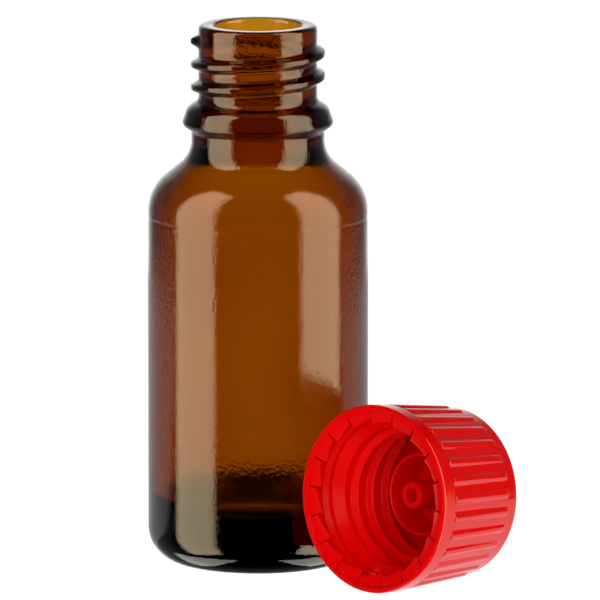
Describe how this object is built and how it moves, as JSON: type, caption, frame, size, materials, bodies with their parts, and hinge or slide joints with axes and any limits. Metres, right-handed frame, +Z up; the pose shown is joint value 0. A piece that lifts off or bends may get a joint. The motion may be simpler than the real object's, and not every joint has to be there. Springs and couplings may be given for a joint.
{
  "type": "dropper bottle with tamper-evident screw closure",
  "caption": "Amber glass screw-neck medicine bottle, open, with its ribbed red screw closure and tamper-evident band lying beside it on its side.",
  "frame": {"origin": "centre of the bottle's base, in the plane that it stands on", "axes": "+Z up the bottle's axis through the mouth; the closure lies towards -Y and +X"},
  "size_m": [0.0483, 0.0462, 0.0714],
  "materials": {
    "glass": "glossy, transparent amber",
    "closure_plastic": "glossy moulded red"
  },
  "bodies": {
    "bottle": {"glass_bottle": "glass"},
    "closure": {"closure_shell": "closure_plastic", "break_bridges": "closure_plastic"},
    "band": {"tamper_band": "closure_plastic"},
    "tab_01": {"retaining_tab_01": "closure_plastic"},
    "tab_02": {"retaining_tab_02": "closure_plastic"},
    "tab_03": {"retaining_tab_03": "closure_plastic"},
    "tab_04": {"retaining_tab_04": "closure_plastic"},
    "tab_05": {"retaining_tab_05": "closure_plastic"},
    "tab_06": {"retaining_tab_06": "closure_plastic"},
    "tab_07": {"retaining_tab_07": "closure_plastic"},
    "tab_08": {"retaining_tab_08": "closure_plastic"},
    "tab_09": {"retaining_tab_09": "closure_plastic"},
    "tab_10": {"retaining_tab_10": "closure_plastic"},
    "tab_11": {"retaining_tab_11": "closure_plastic"},
    "tab_12": {"retaining_tab_12": "closure_plastic"},
    "tab_13": {"retaining_tab_13": "closure_plastic"},
    "tab_14": {"retaining_tab_14": "closure_plastic"},
    "tab_15": {"retaining_tab_15": "closure_plastic"},
    "tab_16": {"retaining_tab_16": "closure_plastic"},
    "tab_17": {"retaining_tab_17": "closure_plastic"},
    "tab_18": {"retaining_tab_18": "closure_plastic"}
  },
  "joints": [
    {"name": "closure_turn", "type": "hinge", "parent": "bottle", "child": "closure", "pos_m": [0.015, -0.0236, 0.01244], "axis": [0.6608, 0.7469, -0.0742], "range_deg": [0, 720]},
    {"name": "band_release", "type": "slide", "parent": "bottle", "child": "band", "axis": [-0.6608, -0.7469, 0.0742], "range_m": [0, 0.0061]},
    {"name": "tab_flex_01", "type": "hinge", "parent": "band", "child": "tab_01", "pos_m": [0.01213, -0.02057, 0.00187], "axis": [-0.6783, 0.6365, 0.3671], "range_deg": [0, 40], "stiffness_Nm_per_rad": 0.0001},
    {"name": "tab_flex_02", "type": "hinge", "parent": "band", "child": "tab_02", "pos_m": [0.00973, -0.01824, 0.00392], "axis": [-0.5274, 0.5324, 0.6621], "range_deg": [0, 40], "stiffness_Nm_per_rad": 0.0001},
    {"name": "tab_flex_03", "type": "hinge", "parent": "band", "child": "tab_03", "pos_m": [0.00805, -0.01645, 0.00699], "axis": [-0.313, 0.364, 0.8772], "range_deg": [0, 40], "stiffness_Nm_per_rad": 0.0001},
    {"name": "tab_flex_04", "type": "hinge", "parent": "band", "child": "tab_04", "pos_m": [0.00731, -0.01543, 0.01071], "axis": [-0.0608, 0.1518, 0.9865], "range_deg": [0, 40], "stiffness_Nm_per_rad": 0.0001},
    {"name": "tab_flex_05", "type": "hinge", "parent": "band", "child": "tab_05", "pos_m": [0.00758, -0.01528, 0.01462], "axis": [0.1987, -0.0788, 0.9769], "range_deg": [0, 40], "stiffness_Nm_per_rad": 0.0001},
    {"name": "tab_flex_06", "type": "hinge", "parent": "band", "child": "tab_06", "pos_m": [0.00884, -0.01603, 0.01826], "axis": [0.4343, -0.2999, 0.8494], "range_deg": [0, 40], "stiffness_Nm_per_rad": 0.0001},
    {"name": "tab_flex_07", "type": "hinge", "parent": "band", "child": "tab_07", "pos_m": [0.01094, -0.0176, 0.02118], "axis": [0.6175, -0.4848, 0.6194], "range_deg": [0, 40], "stiffness_Nm_per_rad": 0.0001},
    {"name": "tab_flex_08", "type": "hinge", "parent": "band", "child": "tab_08", "pos_m": [0.01362, -0.01978, 0.02304], "axis": [0.7262, -0.6112, 0.3148], "range_deg": [0, 40], "stiffness_Nm_per_rad": 0.0001},
    {"name": "tab_flex_09", "type": "hinge", "parent": "band", "child": "tab_09", "pos_m": [0.01655, -0.02232, 0.02362], "axis": [0.7473, -0.6639, -0.0278], "range_deg": [0, 40], "stiffness_Nm_per_rad": 0.0001},
    {"name": "tab_flex_10", "type": "hinge", "parent": "band", "child": "tab_10", "pos_m": [0.01939, -0.02491, 0.02283], "axis": [0.6783, -0.6365, -0.3671], "range_deg": [0, 40], "stiffness_Nm_per_rad": 0.0001},
    {"name": "tab_flex_11", "type": "hinge", "parent": "band", "child": "tab_11", "pos_m": [0.02179, -0.02724, 0.02078], "axis": [0.5274, -0.5324, -0.6621], "range_deg": [0, 40], "stiffness_Nm_per_rad": 0.0001},
    {"name": "tab_flex_12", "type": "hinge", "parent": "band", "child": "tab_12", "pos_m": [0.02347, -0.02903, 0.01771], "axis": [0.313, -0.364, -0.8772], "range_deg": [0, 40], "stiffness_Nm_per_rad": 0.0001},
    {"name": "tab_flex_13", "type": "hinge", "parent": "band", "child": "tab_13", "pos_m": [0.02421, -0.03006, 0.014], "axis": [0.0608, -0.1518, -0.9865], "range_deg": [0, 40], "stiffness_Nm_per_rad": 0.0001},
    {"name": "tab_flex_14", "type": "hinge", "parent": "band", "child": "tab_14", "pos_m": [0.02394, -0.0302, 0.01009], "axis": [-0.1987, 0.0788, -0.9769], "range_deg": [0, 40], "stiffness_Nm_per_rad": 0.0001},
    {"name": "tab_flex_15", "type": "hinge", "parent": "band", "child": "tab_15", "pos_m": [0.02268, -0.02945, 0.00645], "axis": [-0.4343, 0.2999, -0.8494], "range_deg": [0, 40], "stiffness_Nm_per_rad": 0.0001},
    {"name": "tab_flex_16", "type": "hinge", "parent": "band", "child": "tab_16", "pos_m": [0.02058, -0.02788, 0.00352], "axis": [-0.6175, 0.4848, -0.6194], "range_deg": [0, 40], "stiffness_Nm_per_rad": 0.0001},
    {"name": "tab_flex_17", "type": "hinge", "parent": "band", "child": "tab_17", "pos_m": [0.0179, -0.0257, 0.00166], "axis": [-0.7262, 0.6112, -0.3148], "range_deg": [0, 40], "stiffness_Nm_per_rad": 0.0001},
    {"name": "tab_flex_18", "type": "hinge", "parent": "band", "child": "tab_18", "pos_m": [0.01497, -0.02316, 0.00109], "axis": [-0.7473, 0.6639, 0.0278], "range_deg": [0, 40], "stiffness_Nm_per_rad": 0.0001}
  ],
  "couplings": [
    {"joint": "band_release", "follows": "closure_turn", "m_per_rad": 0.00047746}
  ]
}
